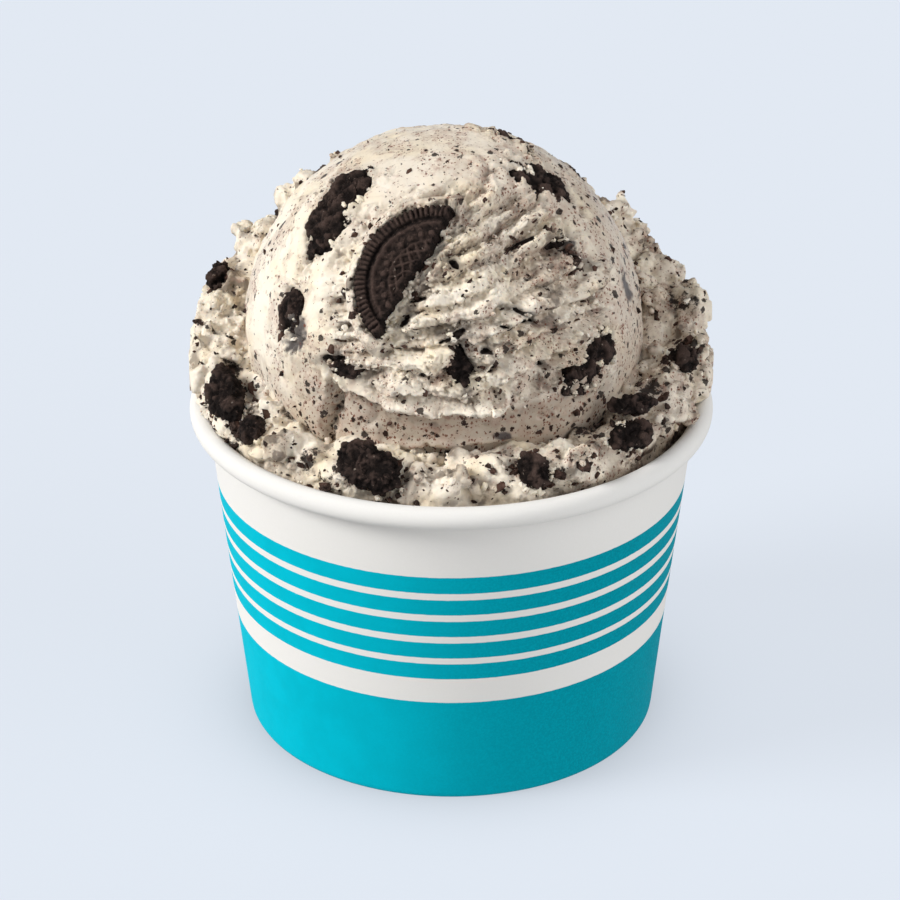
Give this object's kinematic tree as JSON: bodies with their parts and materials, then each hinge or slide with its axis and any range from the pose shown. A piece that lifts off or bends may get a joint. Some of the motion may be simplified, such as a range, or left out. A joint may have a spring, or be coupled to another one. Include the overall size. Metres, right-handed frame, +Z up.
{
  "type": "gelato cup",
  "caption": "Striped round paper cup heaped with cookies-and-cream gelato: a round scoop set in a ragged collar, with a broken round wafer and dark cookie pieces.",
  "frame": {"origin": "centre of the cup's foot, on the surface that the cup stands on", "axes": "+Z up the cup's axis; the shown side, with the scoop's torn face and the wafer, faces -Y; +X is to the right as shown"},
  "size_m": [0.0904, 0.0904, 0.1068],
  "materials": {
    "printed_paper": "satin printed board, teal bands on white",
    "white_paper": "satin white board",
    "gelato": "soft satin frozen cream",
    "cookie": "matt dark baked cookie"
  },
  "bodies": {
    "root": {"cup_wall": "printed_paper", "cup_base": "white_paper", "gelato_collar": "gelato", "gelato_scoop": "gelato", "cookie_wafer": "cookie", "cookie_chunk_back": "cookie", "cookie_chunk_back_left": "cookie", "cookie_chunk_back_right": "cookie", "cookie_chunk_crease": "cookie", "cookie_chunk_left": "cookie", "cookie_chunk_middle": "cookie", "cookie_chunk_right": "cookie", "cookie_chunk_top": "cookie", "cookie_chunk_torn": "cookie", "cookie_chunk_upper_left": "cookie", "cookie_chunk_upper_right": "cookie", "cookie_rubble_back": "cookie", "cookie_rubble_back_left": "cookie", "cookie_rubble_back_right": "cookie", "cookie_rubble_far_left": "cookie", "cookie_rubble_far_right": "cookie", "cookie_rubble_front": "cookie", "cookie_rubble_front_right": "cookie", "cookie_rubble_left": "cookie", "cookie_rubble_left_low": "cookie", "cookie_rubble_right": "cookie", "cookie_rubble_right_upper": "cookie"}
  },
  "joints": []
}
